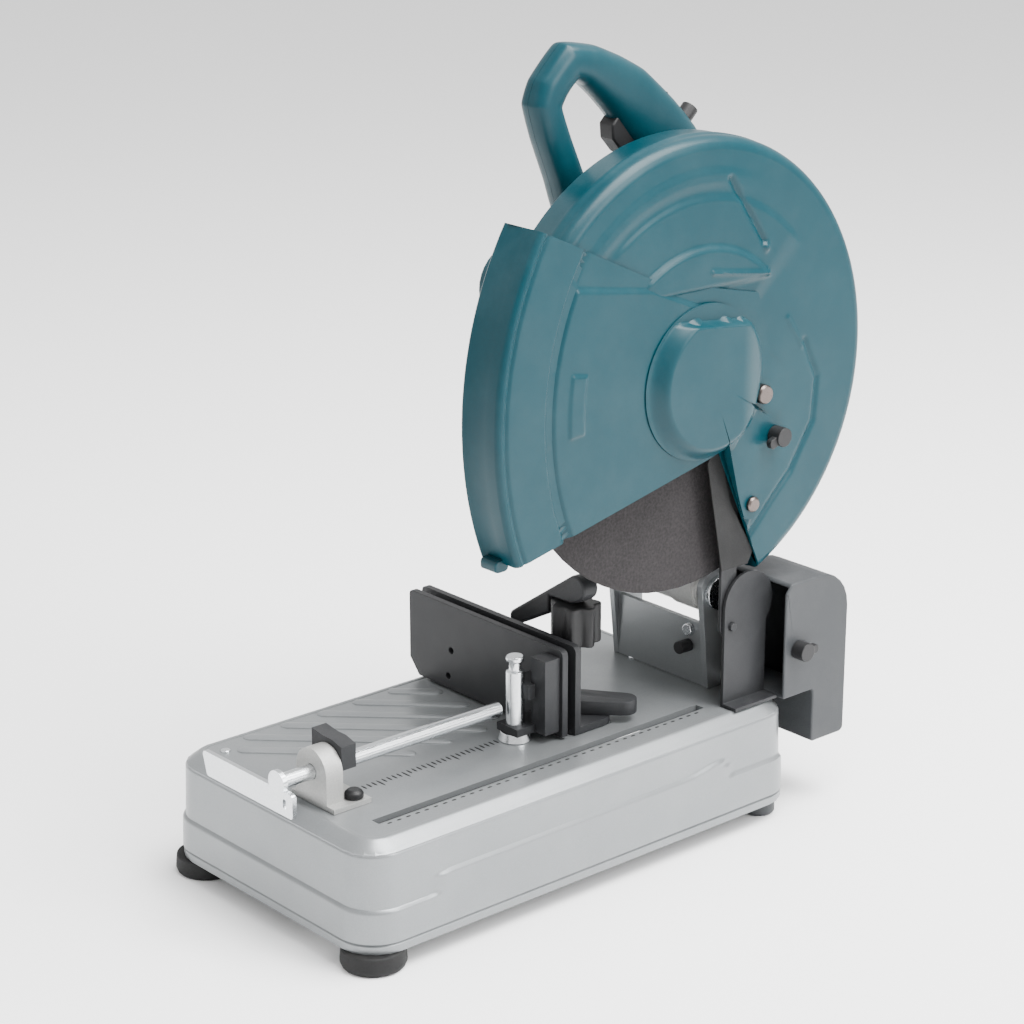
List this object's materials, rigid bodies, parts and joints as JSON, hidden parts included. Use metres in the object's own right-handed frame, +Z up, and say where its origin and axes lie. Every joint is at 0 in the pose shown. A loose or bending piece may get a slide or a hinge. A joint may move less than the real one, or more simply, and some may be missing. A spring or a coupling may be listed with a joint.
{
  "type": "abrasive chop saw",
  "caption": "Bench saw with an abrasive wheel and self-retracting guard on a spring-lifted arm above a table with a quick vise and a swivelling guide plate.",
  "frame": {"origin": "on the floor, under the middle of the saw's outer box", "axes": "+X to the operator's right, along the spindle; +Y to the rear, along the cut; +Z up"},
  "size_m": [0.2713, 0.556, 0.658],
  "materials": {
    "teal_paint": "semi-gloss powder coat",
    "silver_paint": "fine-textured silver paint",
    "dark_sheet": "satin dark grey paint",
    "black_plastic": "moulded black",
    "grey_plastic": "moulded dark grey",
    "rubber": "black rubber",
    "zinc": "bright plated steel",
    "cast_alloy": "fine cast",
    "steel": "machined",
    "abrasive": "coarse resin-bonded grit",
    "copper": "enamelled wire"
  },
  "bodies": {
    "base": {"base": "silver_paint", "foot_front_left": "rubber", "foot_front_right": "rubber", "foot_rear_left": "grey_plastic", "foot_rear_right": "grey_plastic", "rear_bracket": "silver_paint", "pivot_shaft": "zinc", "stop_bolt": "zinc", "head_spring": "steel", "side_plate": "dark_sheet", "spark_guard": "grey_plastic", "vise_bracket": "cast_alloy", "bracket_bolt": "black_plastic"},
    "head": {"gear_housing": "cast_alloy", "gear_cover": "cast_alloy", "spindle_bearing": "steel", "needle_bearing": "steel", "motor_housing": "teal_paint", "motor_end_cover": "teal_paint", "field_stator": "copper", "armature_bearing": "steel", "brush_cap_front": "black_plastic", "brush_cap_rear": "black_plastic", "wheel_case": "teal_paint", "chip_deflector": "rubber", "guard_pivot_bolt": "steel", "cover_hinge_screw": "steel", "handle_left": "teal_paint", "handle_right": "teal_paint", "switch_body": "black_plastic", "cord_gland": "rubber"},
    "spindle_set": {"spindle": "steel", "spindle_gear": "steel", "inner_flange": "steel", "outer_flange": "steel", "abrasive_wheel": "abrasive", "spindle_bolt": "steel"},
    "armature_set": {"armature": "copper", "armature_pinion": "steel"},
    "guard": {"retracting_guard": "teal_paint"},
    "link": {"guard_link": "dark_sheet"},
    "cover": {"centre_cover": "teal_paint"},
    "cover_bolt": {"cover_wing_bolt": "black_plastic"},
    "trigger_lever": {"trigger": "black_plastic"},
    "lock_off": {"lock_off_button": "black_plastic"},
    "shaft_lock": {"shaft_lock_button": "steel"},
    "spark_bolt": {"spark_guard_wing_bolt": "black_plastic"},
    "carry_pin": {"lock_pin": "black_plastic"},
    "vise_carriage": {"vise_post": "zinc"},
    "vise_spindle": {"vise_screw": "zinc", "vise_crank": "zinc"},
    "vise_jaw": {"vise_head": "dark_sheet", "vise_plate": "dark_sheet"},
    "clasp": {"vise_clasp": "dark_sheet"},
    "guide": {"guide_plate": "dark_sheet", "clamp_stud": "zinc"},
    "knob": {"star_knob": "black_plastic"},
    "upper_lever": {"clamp_lever": "dark_sheet"},
    "lower_lever": {"table_lever": "dark_sheet"}
  },
  "joints": [
    {"name": "head_pivot", "type": "hinge", "parent": "base", "child": "head", "pos_m": [-0.0015, 0.155, 0.19], "axis": [1, 0, 0], "range_deg": [0, 49], "stiffness_Nm_per_rad": 17, "springref_deg": -28.65},
    {"name": "spindle_spin", "type": "hinge", "parent": "head", "child": "spindle_set", "pos_m": [0.087, 0.086, 0.394], "axis": [1, 0, 0], "continuous": true},
    {"name": "armature_spin", "type": "hinge", "parent": "head", "child": "armature_set", "pos_m": [-0.0015, 0.08974, 0.42963], "axis": [1, 0, 0], "continuous": true},
    {"name": "guard_swing", "type": "hinge", "parent": "head", "child": "guard", "pos_m": [0.1065, 0.153, 0.372], "axis": [1, 0, 0], "range_deg": [-49, 0]},
    {"name": "link_swing", "type": "hinge", "parent": "base", "child": "link", "pos_m": [0.0945, 0.135, 0.174], "axis": [1, 0, 0], "range_deg": [0, 49]},
    {"name": "cover_swing", "type": "hinge", "parent": "head", "child": "cover", "pos_m": [0.1095, 0.144, 0.281], "axis": [1, 0, 0], "range_deg": [0, 42]},
    {"name": "cover_bolt_turn", "type": "hinge", "parent": "cover", "child": "cover_bolt", "pos_m": [0.1115, 0.168, 0.335], "axis": [1, 0, 0], "continuous": true},
    {"name": "trigger_pull", "type": "hinge", "parent": "head", "child": "trigger_lever", "pos_m": [0.0265, 0.088, 0.582], "axis": [-1, 0, 0], "range_deg": [0, 10], "stiffness_Nm_per_rad": 0.2},
    {"name": "lock_off_press", "type": "slide", "parent": "head", "child": "lock_off", "axis": [0, -0.7071, -0.7071], "range_m": [0, 0.004], "stiffness_N_per_m": 150},
    {"name": "shaft_lock_press", "type": "slide", "parent": "head", "child": "shaft_lock", "axis": [0, 1, 0], "range_m": [0, 0.004], "stiffness_N_per_m": 300},
    {"name": "spark_bolt_turn", "type": "hinge", "parent": "base", "child": "spark_bolt", "pos_m": [0.1235, 0.192, 0.146], "axis": [1, 0, 0], "continuous": true},
    {"name": "carry_pin_pull", "type": "slide", "parent": "base", "child": "carry_pin", "axis": [0, -1, 0], "range_m": [0, 0.01]},
    {"name": "vise_travel", "type": "slide", "parent": "base", "child": "vise_carriage", "axis": [0, -1, 0], "range_m": [0, 0.15]},
    {"name": "vise_screw_turn", "type": "hinge", "parent": "vise_carriage", "child": "vise_spindle", "pos_m": [0.0295, -0.057, 0.131], "axis": [0, 1, 0], "continuous": true},
    {"name": "vise_jaw_swivel", "type": "hinge", "parent": "vise_carriage", "child": "vise_jaw", "pos_m": [0.0365, -0.045, 0.104], "axis": [0, 0, 1], "range_deg": [-45, 0]},
    {"name": "clasp_flip", "type": "hinge", "parent": "base", "child": "clasp", "pos_m": [0.0115, -0.229, 0.12], "axis": [0, 1, 0], "range_deg": [-80, 0]},
    {"name": "guide_swing", "type": "hinge", "parent": "base", "child": "guide", "pos_m": [0.0585, -0.003, 0.104], "axis": [0, 0, 1], "range_deg": [-45, 0]},
    {"name": "knob_turn", "type": "hinge", "parent": "guide", "child": "knob", "pos_m": [0.033, 0.023, 0.17], "axis": [0, 0, 1], "continuous": true},
    {"name": "upper_lever_turn", "type": "hinge", "parent": "guide", "child": "upper_lever", "pos_m": [0.033, 0.023, 0.204], "axis": [0, 0, 1], "range_deg": [-90, 0]},
    {"name": "lower_lever_turn", "type": "hinge", "parent": "guide", "child": "lower_lever", "pos_m": [0.033, 0.023, 0.111], "axis": [0, 0, 1], "range_deg": [-15, 75]}
  ],
  "couplings": [
    {"joint": "armature_spin", "follows": "spindle_spin", "ratio": -5.3333},
    {"joint": "guard_swing", "follows": "head_pivot", "ratio": -1},
    {"joint": "link_swing", "follows": "head_pivot", "ratio": 1},
    {"joint": "vise_jaw_swivel", "follows": "guide_swing", "ratio": 1}
  ]
}
